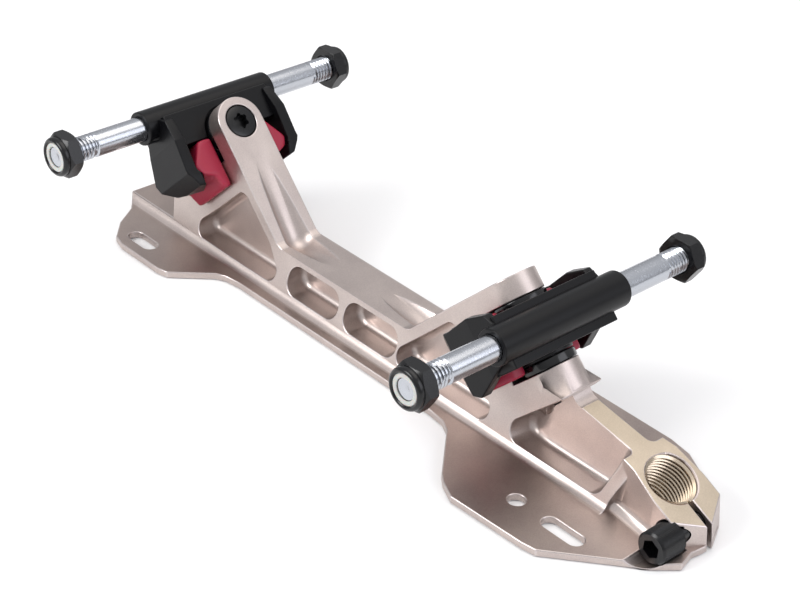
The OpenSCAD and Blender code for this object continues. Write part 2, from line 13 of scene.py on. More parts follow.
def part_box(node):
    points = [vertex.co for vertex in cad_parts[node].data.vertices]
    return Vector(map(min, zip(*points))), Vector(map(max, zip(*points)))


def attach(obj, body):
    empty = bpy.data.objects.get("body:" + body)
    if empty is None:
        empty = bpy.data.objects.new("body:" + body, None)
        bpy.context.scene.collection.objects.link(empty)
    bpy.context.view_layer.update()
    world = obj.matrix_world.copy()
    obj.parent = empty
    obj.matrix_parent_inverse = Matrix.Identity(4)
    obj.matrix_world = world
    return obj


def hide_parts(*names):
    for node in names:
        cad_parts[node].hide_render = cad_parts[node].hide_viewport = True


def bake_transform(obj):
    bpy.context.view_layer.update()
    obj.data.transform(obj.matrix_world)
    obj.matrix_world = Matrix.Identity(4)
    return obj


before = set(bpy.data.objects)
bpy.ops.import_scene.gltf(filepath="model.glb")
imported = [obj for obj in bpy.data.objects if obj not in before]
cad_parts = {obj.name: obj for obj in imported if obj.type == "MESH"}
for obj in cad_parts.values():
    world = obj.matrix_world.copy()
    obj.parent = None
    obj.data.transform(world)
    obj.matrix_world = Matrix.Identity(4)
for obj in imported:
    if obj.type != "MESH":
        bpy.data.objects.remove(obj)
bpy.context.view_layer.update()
MM = 0.001
ENDS = ("rear", "front")
SIDES = (("left", 1), ("right", -1))

# %% [markdown]
# ## The camera
# The view was solved from the photograph: a long lens looks down at about 32
# degrees from the toe end, and is rolled a little. A camera looks along its
# own -Z, so the matrix is built from the picture's right, up and back
# directions, which is clearer here than three angles.
# %% Camera
FOCAL_PIXELS = 1990
PHOTO_PIXELS = 800
CAMERA_MM = Vector((377.5, -365.7, 337.3))
camera_data = bpy.data.cameras.new("photo_camera")
camera_data.sensor_width = 36
camera_data.lens = FOCAL_PIXELS * 36 / PHOTO_PIXELS
camera = bpy.data.objects.new("photo_camera", camera_data)
bpy.context.scene.collection.objects.link(camera)
back = Vector((0.5953, -0.6047, 0.5291)).normalized()
up = Vector((-0.4267, 0.3201, 0.8459))
up = (up - back * up.dot(back)).normalized()
right = up.cross(back)
camera.matrix_world = (
    Matrix.Translation(CAMERA_MM * MM)
    @ Matrix((right, up, back)).transposed().to_4x4()
)
bpy.context.scene.camera = camera
print("camera lens:", round(camera_data.lens, 2), "mm")

# %% [markdown]
# ## One function for colours, one for materials, one for nodes
# Blender's shaders work in linear light, and a colour picked from a picture
# is sRGB, so each hex value is turned to linear once. A material starts with
# a Principled shader whose sockets get plain values. Anything that varies
# over the surface is a node, added by one small function.
# %% Helpers for materials
def linear(hex_colour):
    """An sRGB hex colour as linear RGBA."""
    channels = [int(hex_colour[i : i + 2], 16) / 255 for i in (1, 3, 5)]
    lit = [c / 12.92 if c <= 0.04045 else ((c + 0.055) / 1.055) ** 2.4 for c in channels]
    return (*lit, 1.0)


def finish(name, colour, **sockets):
    """A material with one Principled shader. Keywords give its sockets plain values, with _ for a space."""
    made = bpy.data.materials.new(name)
    made.use_nodes = True
    shader = made.node_tree.nodes["Principled BSDF"]
    shader.inputs["Base Color"].default_value = linear(colour)
    for socket, value in sockets.items():
        shader.inputs[socket.replace("_", " ")].default_value = value
    return made


def add(owner, kind, links=(), to=None, **settings):
    """Adds a node to a material or to the world.

    links is pairs of an input and the value or output that it gets, and to
    is the Principled shader's input that the node feeds.
    """
    tree = owner.node_tree
    node = tree.nodes.new(kind)
    for setting, value in settings.items():
        setattr(node, setting, value)
    for socket, value in links:
        if isinstance(value, bpy.types.NodeSocket):
            tree.links.new(value, node.inputs[socket])
        else:
            node.inputs[socket].default_value = value
    if to:
        tree.links.new(node.outputs[0], tree.nodes["Principled BSDF"].inputs[to])
    return node


print("mid grey in linear light:", round(linear("#808080")[0], 3))

# %% [markdown]
# ## Anodised aluminium, champagne
# The chassis is milled from one block of aluminium, then etched and anodised
# to a matt champagne. Etching leaves a grain of about 0.1 mm: light is
# scattered, so edges glow softly. It is drawn at 0.35 mm here to show at all.
# The nose faces that look up are painted warmer: a painted warm light from above.
# %% Chassis finishes
# A noise rarely leaves this range, so it is what gets mapped onto a gloss.
NOISE_RANGE = (("From Min", 0.3), ("From Max", 0.7))
ETCH_MM = 0.35
STAIN_MM = 14


def anodised(name, dark, light, rough):
    """Etched and anodised aluminium: a metal with fine grain in its colour, gloss and surface."""
    made = finish(name, light, Metallic=1.0, Roughness=rough)
    where = ("Vector", add(made, "ShaderNodeTexCoord").outputs["Object"])
    grain, cloud = (
        add(made, "ShaderNodeTexNoise", [where, ("Scale", 1 / (size * MM)), ("Detail", 3.0)]).outputs["Fac"]
        for size in (ETCH_MM, STAIN_MM)
    )
    both = add(made, "ShaderNodeMix", [("Factor", 0.55), ("A", cloud), ("B", grain)]).outputs["Result"]
    ramp = add(made, "ShaderNodeValToRGB", [("Fac", both)], to="Base Color").color_ramp
    for stop, position, colour in zip(ramp.elements, (0.35, 0.65), (dark, light)):
        stop.position, stop.color = position, linear(colour)
    gloss = [("Value", grain), *NOISE_RANGE, ("To Min", rough - 0.05), ("To Max", rough + 0.07)]
    add(made, "ShaderNodeMapRange", gloss, to="Roughness")
    relief = [("Height", grain), ("Strength", 0.22), ("Distance", 0.04 * MM)]
    add(made, "ShaderNodeBump", relief, to="Normal")
    return made


# Matt walls of a pinkish beige: wide soft highlights, no mirror image.
champagne_walls = anodised("champagne_anodised_aluminium_etched_walls", "#B9ADA9", "#CEC2BC", 0.38)
# The flange and the tail rail tops are a little duller, and painted darker: painted shade where they lie
# low or under the hanger.
champagne_painted_shade = anodised("champagne_anodised_aluminium_flange_painted_shade", "#A69893", "#B8AAA3", 0.40)
# The nose deck and the facet are smoother, and painted golden rather than pink: a painted warm light.
warm_lit_deck = anodised("champagne_anodised_aluminium_painted_warm_nose_deck", "#C6B7A3", "#D7C8B4", 0.36)
# A broken edge is glossier and painted lighter, a painted highlight that draws a thin bright line.
edges_painted_highlight = anodised("champagne_anodised_aluminium_broken_edges_painted_highlight", "#C2B8B5", "#D0C6C3", 0.32)
print("finishes:", [m.name for m in (champagne_walls, champagne_painted_shade, warm_lit_deck, edges_painted_highlight)])

# %% [markdown]
# ## Black finishes, nylon, bronze and urethane
# Hangers are hard anodised black: a satin skin that shows soft grey sheen.
# Nuts and screws are black oxide over turned steel, a little glossier, and
# the pivot washers are polished acetal. The cushions are cast urethane in
# raspberry, a slightly translucent rubber with an even satin skin. The grain
# of such skins is a few hundredths of a millimetre and would not show, so it
# is drawn at 0.3 mm and more.
# %% Small part finishes
def satin(name, colour, rough, grain_mm, depth_mm, **sockets):
    """A surface with an even fine grain, which also varies its gloss."""
    made = finish(name, colour, Roughness=rough, **sockets)
    where = ("Vector", add(made, "ShaderNodeTexCoord").outputs["Object"])
    scale = ("Scale", 1 / (grain_mm * MM))
    grain = add(made, "ShaderNodeTexNoise", [where, scale, ("Detail", 3.0)]).outputs["Fac"]
    gloss = [("Value", grain), *NOISE_RANGE, ("To Min", rough * 0.88), ("To Max", rough * 1.15)]
    add(made, "ShaderNodeMapRange", gloss, to="Roughness")
    relief = [("Height", grain), ("Strength", 0.25), ("Distance", depth_mm * MM)]
    add(made, "ShaderNodeBump", relief, to="Normal")
    return made


# Deep black with a wide grey sheen along the tubes.
hanger_black = satin(
    "black_hard_anodised_aluminium", "#08080B", 0.34, 0.4, 0.02, Specular_IOR_Level=0.24
)
# Oiled black steel: narrower highlights, so corners and collars sparkle.
steel_black = satin("black_oxide_steel_turned", "#0C0C0E", 0.24, 0.3, 0.01, Specular_IOR_Level=0.4)
# Polished plastic: a crisp glossy line round the pivot.
washer_black = satin("black_acetal_polished", "#08080A", 0.14, 1.5, 0.01)
# Milky and faintly see-through, so the ring in a nut looks soft.
nylon_white = satin(
    "natural_nylon_moulded", "#BDBDB8", 0.42, 0.8, 0.02, Subsurface_Weight=0.2, Subsurface_Scale=0.6 * MM
)
# A warm brown metal. It is inside the hanger, so only a cut would show it.
bronze_plain = satin("plain_bronze_turned", "#9C7340", 0.30, 0.3, 0.02, Metallic=1.0)
# A saturated rubber: light enters it, so its shadows stay red.
urethane_red = satin(
    "raspberry_urethane_cast", "#A01A3A", 0.42, 0.9, 0.04, Subsurface_Weight=0.25, Subsurface_Scale=1.2 * MM
)
print("finishes:", [m.name for m in (hanger_black, steel_black, washer_black, nylon_white, urethane_red)])

# %% [markdown]
# ## Bare metals
# Axles are bright zinc over a ground rod: they mirror the room, broken up by
# a mottle that is squeezed along the rod. The toe stop's thread was cut
# after anodising, so its bare aluminium shines, and its colour is painted
# warm: a painted reflection of the walls round it.
# %% Bare metal finishes
# Bright and streaky: sharp highlights next to dull grey spots.
zinc_bright = finish("bright_zinc_on_ground_steel", "#BBBEC4", Metallic=1.0, Roughness=0.18)
along = add(zinc_bright, "ShaderNodeTexCoord").outputs["Object"]
squeezed = add(zinc_bright, "ShaderNodeMapping", [("Vector", along), ("Scale", (1.0, 2.2, 1.0))])
mottle = [
    ("Vector", squeezed.outputs["Vector"]), ("Scale", 1 / (0.9 * MM)), ("Detail", 5.0), ("Roughness", 0.65),
]
pits = add(zinc_bright, "ShaderNodeTexNoise", mottle).outputs["Fac"]
gloss = [("Value", pits), *NOISE_RANGE, ("To Min", 0.12), ("To Max", 0.3)]
add(zinc_bright, "ShaderNodeMapRange", gloss, to="Roughness")
relief = [("Height", pits), ("Strength", 0.3), ("Distance", 0.03 * MM)]
add(zinc_bright, "ShaderNodeBump", relief, to="Normal")

# Glossy ridges with dark gaps between: a thread reads as stripes of light.
# Its warm colour is a painted reflection of the champagne walls round the bore.
thread_bare = finish("cut_thread_bare_aluminium", "#CDBDA8", Metallic=1.0, Roughness=0.2)
bored = ("Vector", add(thread_bare, "ShaderNodeTexCoord").outputs["Object"])
scratch = add(thread_bare, "ShaderNodeTexNoise", [bored, ("Scale", 1 / (0.5 * MM)), ("Detail", 2.0)])
gloss = [("Value", scratch.outputs["Fac"]), *NOISE_RANGE, ("To Min", 0.16), ("To Max", 0.26)]
add(thread_bare, "ShaderNodeMapRange", gloss, to="Roughness")
print("finishes:", [m.name for m in (zinc_bright, thread_bare)])

# %% [markdown]
# ## Helpers for shapes
# A turned part is a profile spun round an axis with `bmesh.ops.spin`, as on a
# lathe. A thread is a small profile spun while it climbs. Placing a part
# moves its mesh, and not its object, so that patterns stay put.
# %% Helpers for turned shapes
def spun_profile(points, angle_from=0.0):
    """A bmesh with a closed loop of (radius, height) points in mm, and the loop's vertices and edges."""
    bm = bmesh.new()
    ring = [bm.verts.new((r * MM, 0, h * MM)) for r, h in points]
    lines = [bm.edges.new((a, b)) for a, b in zip(ring, ring[1:] + ring[:1])]
    bmesh.ops.rotate(bm, verts=ring, matrix=Matrix.Rotation(angle_from, 3, "Z"))
    return bm, ring + lines


def turned(profile, steps=72):
    """A lathe part: a closed loop of (radius, height) points in mm, spun round Z."""
    bm, loop = spun_profile(profile)
    bmesh.ops.spin(
        bm, geom=loop, cent=(0, 0, 0), axis=(0, 0, 1), angle=math.tau, steps=steps, use_merge=True
    )
    bmesh.ops.remove_doubles(bm, verts=bm.verts, dist=0.001 * MM)
    bmesh.ops.dissolve_degenerate(bm, dist=0.0005 * MM, edges=bm.edges)
    bmesh.ops.recalc_face_normals(bm, faces=bm.faces)
    return bm


def thread(root, crest, pitch, turns, start=0.0, steps=48):
    """A thread's ridge round Z, from an angle in turns. Crest under root gives an inner thread."""
    base = pitch * start
    section = [
        (root, base - 0.44 * pitch), (crest, base - 0.1 * pitch),
        (crest, base + 0.1 * pitch), (root, base + 0.44 * pitch),
    ]
    bm, loop = spun_profile(section, math.tau * (start % 1))
    count = max(3, round(steps * turns))
    bmesh.ops.spin(
        bm, geom=loop, cent=(0, 0, 0), axis=(0, 0, 1), dvec=(0, 0, pitch * MM * turns / count),
        angle=math.tau * turns, steps=count,
    )
    bmesh.ops.holes_fill(bm, edges=[e for e in bm.edges if e.is_boundary], sides=0)
    bmesh.ops.recalc_face_normals(bm, faces=bm.faces)
    return bm


def add_bar(bm, radius, depth, sides, place=Matrix.Identity(4)):
    """Adds a closed bar along Z, sizes in mm, moved by a matrix. Six sides make a hexagon."""
    bmesh.ops.create_cone(
        bm, cap_ends=True, segments=sides, radius1=radius * MM, radius2=radius * MM,
        depth=depth * MM, matrix=place,
    )
    return bm


print("a washer's blank has", len(turned([(2, 0), (5, 0), (5, 1), (2, 1)]).faces), "faces")

# %% [markdown]
# ## Helpers for pieces
# A bmesh is a mesh being worked on, and an object is what the scene shows.
# Booleans and remeshing are modifiers, so they need a passing object, whose
# result is read back. A piece is finished by smooth shading with sharp
# creases, and told which body it rides and which CAD node it stands for.
# %% Helpers for pieces
def shift(x, y, z):
    """A matrix that moves by mm."""
    return Matrix.Translation(Vector((x, y, z)) * MM)


def turn(degrees, axis):
    """A matrix that turns by degrees round an axis."""
    return Matrix.Rotation(math.radians(degrees), 4, axis)


def shown(name, bm):
    """A new object in the scene with the bmesh as its mesh. The bmesh is used up."""
    mesh = bpy.data.meshes.new(name)
    bm.to_mesh(mesh)
    bm.free()
    made = bpy.data.objects.new(name, mesh)
    bpy.context.scene.collection.objects.link(made)
    return made


def result_of(made):
    """The object's mesh after its modifiers, as a bmesh."""
    graph = bpy.context.evaluated_depsgraph_get()
    bm = bmesh.new()
    bm.from_mesh(made.evaluated_get(graph).to_mesh())
    return bm


def joined(*parts):
    """Several bmeshes as one."""
    together = bmesh.new()
    for part in parts:
        mesh = bpy.data.meshes.new("part")
        part.to_mesh(mesh)
        together.from_mesh(mesh)
        bpy.data.meshes.remove(mesh)
        part.free()
    return together


def placed(bm, place):
    """The bmesh moved by a matrix, its faces kept pointing outwards when the matrix mirrors it."""
    bmesh.ops.transform(bm, matrix=place, verts=bm.verts)
    if place.to_3x3().determinant() < 0:
        bmesh.ops.reverse_faces(bm, faces=bm.faces)
    return bm


def carved(bm, tool, operation="DIFFERENCE"):
    """The bmesh after a boolean with another, both closed. Both are used up."""
    block, cutter = shown("carve", bm), shown("carve", tool)
    step = block.modifiers.new("carve", "BOOLEAN")
    step.object, step.operation, step.solver, step.use_self = cutter, operation, "EXACT", True
    result = result_of(block)
    bpy.data.objects.remove(block)
    bpy.data.objects.remove(cutter)
    return result


def moulded(bm, grain_mm, passes):
    """The bmesh rebuilt from even small squares and relaxed, which rounds a cast block all over."""
    block = shown("mould", bm)
    block.modifiers.new("squares", "REMESH").voxel_size = grain_mm * MM
    relax = block.modifiers.new("relax", "SMOOTH")
    relax.factor, relax.iterations = 0.5, passes
    result = result_of(block)
    bpy.data.objects.remove(block)
    return result


def piece(name, bm, body, slot, *finishes, nodes=(), sharp=32):
    """A finished piece: smooth below the sharp angle, riding on its body, standing for its CAD nodes."""
    made = shown(name, bm)
    for each in finishes:
        made.data.materials.append(each)
    made.data.shade_smooth()
    made.data.set_sharp_from_angle(angle=math.radians(sharp))
    made.modifiers.new("even shading", "WEIGHTED_NORMAL").keep_sharp = True
    if body:
        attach(made, body)
    if nodes:
        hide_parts(*nodes)
    return made


def truck_place(end):
    """The matrix from a truck's own axes to the row.

    X runs along the pivot pin towards the arm, Y sideways and Z up the truck.
    """
    low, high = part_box(end + "_axle")
    across = -1 if end == "rear" else 1
    half = math.sqrt(0.5)
    axes = Matrix(((-across * half, 0, across * half), (0, 1, 0), (half, 0, half)))
    return Matrix.Translation((low + high) / 2) @ axes.to_4x4()


print("trucks stand at X in mm:", [round(truck_place(end).translation.x / MM, 1) for end in ENDS])

# %% [markdown]
# ## Softened CAD copies
# The CAD solid has perfectly sharp edges, and nothing machined has: an edge
# that catches no light looks drawn. A copy of the CAD mesh is merged, its
# flat areas joined, and its sharp edges beveled by a few tenths. A bevel
# on an inside edge fills it, like the round nose of the cutter does.
# %% Helpers for softening
def whole(bm):
    """Joins a bmesh's loose triangles and makes its flat areas single faces."""
    bmesh.ops.remove_doubles(bm, verts=bm.verts, dist=0.03 * MM)
    bmesh.ops.dissolve_degenerate(bm, dist=0.02 * MM, edges=bm.edges)
    bmesh.ops.dissolve_limit(bm, angle_limit=math.radians(0.8), verts=bm.verts, edges=bm.edges)
    return bm


def merged_copy(node):
    """A CAD node's mesh as a whole bmesh."""
    bm = bmesh.new()
    bm.from_mesh(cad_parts[node].data)
    return whole(bm)


def soften(bm, width_mm, chosen, segments=3):
    """Bevels the chosen edges and returns the new faces."""
    edges = [e for e in bm.edges if len(e.link_faces) == 2 and chosen(e)]
    made = bmesh.ops.bevel(
        bm, geom=edges, offset=width_mm * MM, offset_type="OFFSET", affect="EDGES",
        segments=segments, profile=0.5, clamp_overlap=False, material=-1,
    )
    print("softened", len(edges), "edges by", width_mm, "mm")
    return made["faces"]


def is_sharp(edge, degrees=28):
    """True where the two faces of an edge meet at more than an angle."""
    return edge.calc_face_angle(0) > math.radians(degrees)


def middle_mm(edge):
    """The middle of an edge in mm."""
    return (edge.verts[0].co + edge.verts[1].co) / 2 / MM


print("the CAD chassis has", len(merged_copy("chassis").faces), "faces when whole")

# %% [markdown]
# ## What is soft on the chassis
# The pockets were milled with a ball-nosed cutter, so their floors meet the
# walls in a 2.2 mm curve. Outside edges were broken by hand to 0.35 mm. Two
# places have edges too short for these widths, and they stay as they are:
# below the front boss, and where a ball-nosed scallop meets it.
# %% Chassis edges
CUTTER_NOSE = 2.2
BROKEN_EDGE = 0.35
TOE_STOP_LEAN = math.radians(25.7)
FACET = Vector((math.sin(TOE_STOP_LEAN), 0, math.cos(TOE_STOP_LEAN)))
STOP_MOUTH = Vector((126.4, 0, 14.92)) * MM
STOP_MOUTH_RIM = 9.3
BOSS_X, BOSS_Z = (80, 100), 17
SCALLOP_X, SCALLOP_Z = (87, 99.5), 20


def pocket_floor_edge(edge):
    """An inside edge between a pocket's floor, which looks sideways, and its wall."""
    if edge.is_convex or not is_sharp(edge, 60):
        return False
    where = middle_mm(edge)
    top = max(v.co.z for v in edge.verts) / MM
    under_boss = BOSS_X[0] < where.x < BOSS_X[1] and top > BOSS_Z
    sideways = any(abs(f.normal.y) > 0.96 for f in edge.link_faces)
    return sideways and where.z > 3 and where.x < 124 and abs(where.y) < 9 and not under_boss


def outside_edge(edge):
    """A sharp outside edge, but none of the tiny ones where the scallop meets the front boss."""
    where = middle_mm(edge)
    at_scallop = SCALLOP_X[0] < where.x < SCALLOP_X[1] and where.z > SCALLOP_Z
    from_mouth = (where * MM - STOP_MOUTH).cross(FACET).length / MM
    return edge.is_convex and is_sharp(edge) and not at_scallop and from_mouth > STOP_MOUTH_RIM


print("the facet looks along", [round(x, 3) for x in FACET])

# %% [markdown]
# ## Two cutters for the nose
# The nose pockets are deeper in the photograph than in the CAD, down to a
# web of 7.2 mm, so a bar with the pocket's outline takes the rest away. The
# pinch screw's head pocket breaks through the facet, and a thin roof that
# ends flush with the facet and the front face closes it.
# %% Nose cutters
WEB_HALF = 3.6
# The bar starts where the CAD's web is thinner still, so it leaves no step.
POCKET_END = 110.66
POCKET_OUTLINE = [(85.0, 4.6), (POCKET_END, 4.6), (118.9, 30), (96.89, 30), (85.0, 18.11)]
POCKET_CORNER = 2.7
PINCH_AXIS = Vector((136, 0, 5.5)) * MM
ROOF_RADIUS = 5.2
ROOF_LENGTH = 3.3
ROOF_MIDDLE = -8.75
ROOF_UNDERSIDE = 3.6
FRONT_FACE = Vector((0.8744, -0.4649, 0.1392))
FRONT_POINT = Vector((138.5, -5.7, 9.09)) * MM


def nose_pocket_cutter(side):
    """A bar with the nose pocket's outline, from the web outwards."""
    bm = bmesh.new()
    corners = [bm.verts.new((x * MM, side * WEB_HALF * MM, z * MM)) for x, z in POCKET_OUTLINE]
    bm.faces.new(corners)
    grown = bmesh.ops.extrude_face_region(bm, geom=bm.faces[:])
    moved = [v for v in grown["geom"] if isinstance(v, bmesh.types.BMVert)]
    bmesh.ops.translate(bm, verts=moved, vec=(0, side * 16 * MM, 0))
    at_end = [e for e in bm.edges if all(abs(v.co.x / MM - POCKET_END) < 0.1 for v in e.verts)]
    bmesh.ops.bevel(
        bm, geom=at_end, offset=POCKET_CORNER * MM, offset_type="OFFSET", affect="EDGES",
        segments=12, profile=0.5, material=-1,
    )
    bmesh.ops.recalc_face_normals(bm, faces=bm.faces)
    return bm


def facet_roof():
    """The roof over the pinch screw's head pocket: a bar along Y cut by three planes."""
    bm = add_bar(bmesh.new(), ROOF_RADIUS, ROOF_LENGTH, 64)
    placed(bm, Matrix.Translation(PINCH_AXIS) @ shift(0, ROOF_MIDDLE, 0) @ turn(90, "X"))
    underside = PINCH_AXIS + FACET * ROOF_UNDERSIDE * MM
    for point, away in ((STOP_MOUTH, FACET), (underside, -FACET), (FRONT_POINT, FRONT_FACE)):
        bmesh.ops.bisect_plane(
            bm, geom=bm.verts[:] + bm.edges[:] + bm.faces[:],
            plane_co=point, plane_no=away, clear_outer=True,
        )
        bmesh.ops.holes_fill(bm, edges=[e for e in bm.edges if e.is_boundary], sides=0)
    bmesh.ops.recalc_face_normals(bm, faces=bm.faces)
    return bm


print("the nose web is", 2 * WEB_HALF, "mm thick")

# %% [markdown]
# ## The chassis
# The cutters come first, then the soft edges. A bevel runs to the end of its
# edge, so the pockets' long walls are first split half way up, which keeps
# the wide curve away from the boss. Faces take their finish by where they
# look: the nose deck and the facet get a painted warm light, the flange and
# the tail rail a painted shade, and each broken edge a painted highlight.
# %% Chassis piece
FLANGE_TAIL_SHADE_FINISH, WARM_LIT_DECK_FINISH, EDGE_HIGHLIGHT_FINISH = 1, 2, 3
DECK_X, DECK_Z = 97, 9
FLANGE_TOP = 3
TAIL_X = -85
SPLIT_X, SPLIT_Y = (70, 90), (2, 5)
body = merged_copy("chassis")
for _, side in SIDES:
    body = carved(body, nose_pocket_cutter(side))
body = whole(carved(body, facet_roof(), "UNION"))
long_walls = [e for e in body.edges if is_sharp(e, 60) and not e.is_convex and e.calc_length() > 12 * MM]
for edge in long_walls:
    low_end, high_end = sorted(edge.verts, key=lambda v: v.co.z)
    x, y = low_end.co.x / MM, abs(low_end.co.y / MM)
    if SPLIT_X[0] < x < SPLIT_X[1] and SPLIT_Y[0] < y < SPLIT_Y[1] and high_end.co.z > BOSS_Z * MM:
        bmesh.utils.edge_split(edge, low_end, 0.5)
soften(body, CUTTER_NOSE, pocket_floor_edge, 5)
# The broken edges' bevels take a painted highlight.
for face in soften(body, BROKEN_EDGE, outside_edge):
    face.material_index = EDGE_HIGHLIGHT_FINISH
for face in body.faces:
    where = face.calc_center_median() / MM
    if face.material_index == EDGE_HIGHLIGHT_FINISH:
        continue
    # On the nose, faces that look up take the golden finish: a painted warm light from above.
    faces_up_painted_warm = face.normal.z > 0.97 or face.normal.dot(FACET) > 0.98
    if where.x > DECK_X and where.z > DECK_Z and faces_up_painted_warm:
        face.material_index = WARM_LIT_DECK_FINISH
    # Low flange tops and the tail rail top under the hanger take a painted shade.
    elif face.normal.z > 0.94 and (where.z < FLANGE_TOP or where.x < TAIL_X):
        face.material_index = FLANGE_TAIL_SHADE_FINISH
chassis = piece(
    "chassis_machined", body, "plate", "anodised_chassis",
    champagne_walls, champagne_painted_shade, warm_lit_deck, edges_painted_highlight, nodes=("chassis",), sharp=34,
)
print("chassis faces:", len(chassis.data.polygons))

# %% [markdown]
# ## Hangers
# The hangers are softened like the chassis. The front inner corner of each
# hook is cut off at a slant, by a block that is placed in the truck's own
# axes and mirrored for the other side.
# %% Hanger pieces
HOOK_BLOCK = Vector((24, 10, 12)) * MM
HOOK_X, HOOK_Y, HOOK_Z = 8, 17.2, -27.5
HOOK_SLANT = 22
BROKEN_HANGER_EDGE = 0.4
for end in ENDS:
    shell = merged_copy(end + "_hanger")
    for _, side in SIDES:
        corner = bmesh.new()
        bmesh.ops.create_cube(corner, size=1.0)
        bmesh.ops.scale(corner, verts=corner.verts, vec=HOOK_BLOCK)
        # The block turns round the middle of its outer side.
        place = shift(HOOK_X, HOOK_Y, 0) @ turn(HOOK_SLANT, "Z") @ shift(0, -5, HOOK_Z)
        placed(corner, truck_place(end) @ Matrix.Diagonal((1, side, 1, 1)) @ place)
        shell = carved(shell, corner)
    soften(shell, BROKEN_HANGER_EDGE, lambda e: e.is_convex and is_sharp(e))
    piece(
        end + "_hanger_black", shell, end + "_truck", "black_hanger", hanger_black, nodes=(end + "_hanger",)
    )

# %% [markdown]
# ## Cushions
# A cushion is a cast block with well rounded edges all over, which a remesh
# and a few smoothing passes give. It sits between the truck's wing and the
# chassis web.
# %% Cushion pieces
CUSHION_GRAIN = 0.4
CUSHION_PASSES = 36
for end in ENDS:
    for side, sign in SIDES:
        node = f"{end}_{side}_cushion"
        block = moulded(merged_copy(node), CUSHION_GRAIN, CUSHION_PASSES)
        low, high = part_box(node)
        made = piece(node + "_cast", block, None, "red_cushion", urethane_red, nodes=(node,), sharp=40)
        middle = (low + high) / 2
        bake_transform(made)
print("cushion faces:", len(made.data.polygons))

# %% [markdown]
# ## Axles
# An axle is a ground steel rod with an M8 thread on each end. The rod is
# turned with a thinner root where the thread runs, and the ridge climbs
# round it. The second ridge is the first one turned end over end.
# %% Axle pieces
AXLE_R = 4
ROOT_R = 3.45
M8_PITCH = 1.25
THREAD_FROM = 44.5
axle_low, axle_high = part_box("rear_axle")
axle_half = (axle_high.y - axle_low.y) / 2 / MM
for end in ENDS:
    low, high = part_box(end + "_axle")
    # Each end is chamfered and has a small centre hole from the lathe.
    upper = [
        (AXLE_R, THREAD_FROM - 0.5), (ROOT_R, THREAD_FROM), (ROOT_R, axle_half - 0.9),
        (3.1, axle_half), (1.2, axle_half), (0.0, axle_half - 0.7),
    ]
    lower = [(r, -h) for r, h in reversed(upper)]
    rod = turned(upper + lower, 96)
    turns = (axle_half - 1.4 - THREAD_FROM) / M8_PITCH
    ridges = []
    for flip in (Matrix.Identity(4), turn(180, "X")):
        ridge = thread(ROOT_R - 0.05, AXLE_R - 0.02, M8_PITCH, turns)
        ridges.append(placed(ridge, flip @ shift(0, 0, THREAD_FROM + 0.3)))
    lay_down = Matrix.Translation((low + high) / 2) @ turn(-90, "X")
    threaded = placed(joined(rod, *ridges), lay_down)
    piece(
        end + "_axle_threaded", threaded, end + "_truck", "zinc_axle", zinc_bright, nodes=(end + "_axle",)
    )
print("axle thread:", round(turns, 1), "turns at each end")

# %% [markdown]
# ## Locknuts
# A locknut is a hexagon whose corners are turned off by a cone, with a round
# collar crimped over a nylon ring. The hexagon is a six-sided prism cut by a
# turned blank with a boolean, which leaves curved arcs at the corners.
# %% Locknut pieces
NUT_CORNERS_R = 7.506
HEX_HEIGHT = 4.6
BLANK = [(0, 0), (6.5, 0), (7.7, 0.7), (7.7, 3.5), (6.35, 4.5), (0, 4.5)]
COLLAR = [
    (3.9, 4.3), (6.2, 4.3), (6.28, 4.8), (6.3, 5.5), (6.1, 6.05), (5.7, 6.4),
    (5.3, 6.5), (4.95, 6.38), (4.7, 6.1), (4.7, 5.0), (3.9, 4.9),
]
NUT_BORE = [(0, -1), (4.55, -1), (4.55, 0), (3.95, 0.6), (3.95, 5.2), (0, 5.2)]
NYLON = [
    (4.0, 4.9), (4.68, 4.9), (4.68, 5.95), (4.5, 6.1), (3.5, 6.1), (3.3, 5.95), (3.3, 5.65), (4.0, 5.65),
]


def locknut_shape():
    """A locknut lying on Z = 0, its collar up."""
    hexagon = add_bar(bmesh.new(), NUT_CORNERS_R, HEX_HEIGHT, 6)
    placed(hexagon, shift(0, 0, HEX_HEIGHT / 2) @ turn(30, "Z"))
    hexagon = carved(hexagon, turned(BLANK, 96), "INTERSECT")
    collar = turned(COLLAR, 96)
    return joined(carved(hexagon, turned(NUT_BORE, 64)), collar)


for end in ENDS:
    for side, sign in SIDES:
        name, truck = f"{end}_{side}", end + "_truck"
        low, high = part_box(name + "_nut")
        middle = (low + high) / 2
        base = Vector((middle.x, min((low.y, high.y), key=abs), middle.z))
        stand = Matrix.Translation(base) @ turn(-90 * sign, "X")
        hexagon, ring = placed(locknut_shape(), stand), placed(turned(NYLON), stand)
        nut = piece(name + "_locknut", hexagon, truck, "black_nut", steel_black, nodes=(name + "_nut",))
        piece(
            name + "_nylon_insert", ring, truck, "white_nylon", nylon_white, nodes=(name + "_nylon_ring",)
        )
print("locknut faces:", len(nut.data.polygons))

# %% [markdown]
# ## Pivot bolts and washers
# The low round head of a pivot bolt lies flush in the arm, with a six-lobe
# socket. The socket's cutter is one round bar and six small ones. Washers
# are turned rings with rounded rims, which give the pivot its glossy line.
# The bearing sleeve is plain, so the CAD's own solid stays and only gets a
# better material in its slot.
# %% Pivot pieces
PIN_BELOW_AXLE = -11.15
BOLT_HEAD = [
    (0, 10), (4, 10), (4, 12.75), (5.2, 12.75), (5.5, 13.0), (5.5, 15.3), (5.1, 15.85),
    (4.2, 16.05), (0, 16.1),
]
BOLT_SHANK = [(0, -21), (3.4, -21), (4, -20.3), (4, 10.5), (0, 10.5)]
HEAD_TOP = 16.2
WASHER = [
    (4.06, -1.35), (7.9, -1.35), (8.2, -1.2), (8.3, -0.9),
    (8.3, 0.9), (8.2, 1.2), (7.9, 1.35), (4.06, 1.35),
]
SOCKET_R = 2.15
LOBE_AT = 2.0
LOBE_R = 0.72
lie = turn(90, "Y")
